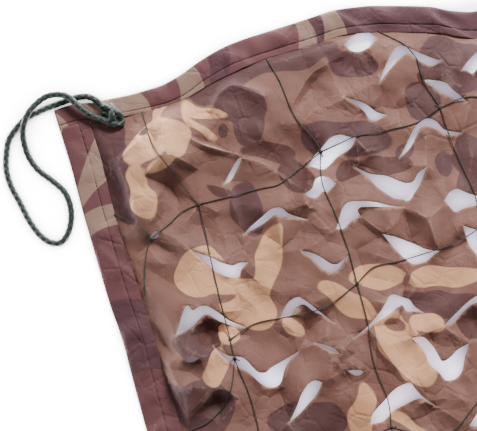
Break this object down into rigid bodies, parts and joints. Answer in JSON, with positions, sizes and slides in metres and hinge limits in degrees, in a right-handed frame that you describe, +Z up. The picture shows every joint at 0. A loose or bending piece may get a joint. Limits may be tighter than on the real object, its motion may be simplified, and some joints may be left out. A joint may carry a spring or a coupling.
{
  "type": "camouflage netting",
  "caption": "Small camouflage net lying face up: leaf-cut printed cloth in a stitched binding, under a knotted twine net, with a braided tie loop at one corner.",
  "frame": {"origin": "centre of the sewn net's footprint on the surface it lies on, the tie loop left out", "axes": "+X along the top edge away from the tied corner, +Y from the bottom edge to the top edge, +Z up off the surface"},
  "size_m": [0.5406, 0.4336, 0.0177],
  "materials": {
    "printed_cloth": "thin woven polyester, printed in sand, browns and maroon, slight sheen",
    "binding_cloth": "folded printed polyester tape with a stitch line",
    "twine": "thin twisted dark green twine",
    "cord": "diamond-braided dark green cord with lighter flecks"
  },
  "bodies": {
    "root": {"leaf_cloth": "printed_cloth", "binding_top": "binding_cloth", "binding_bottom": "binding_cloth", "binding_left": "binding_cloth", "binding_right": "binding_cloth", "twine_net": "twine", "tie_cord": "cord", "tie_knot": "cord"}
  },
  "joints": []
}
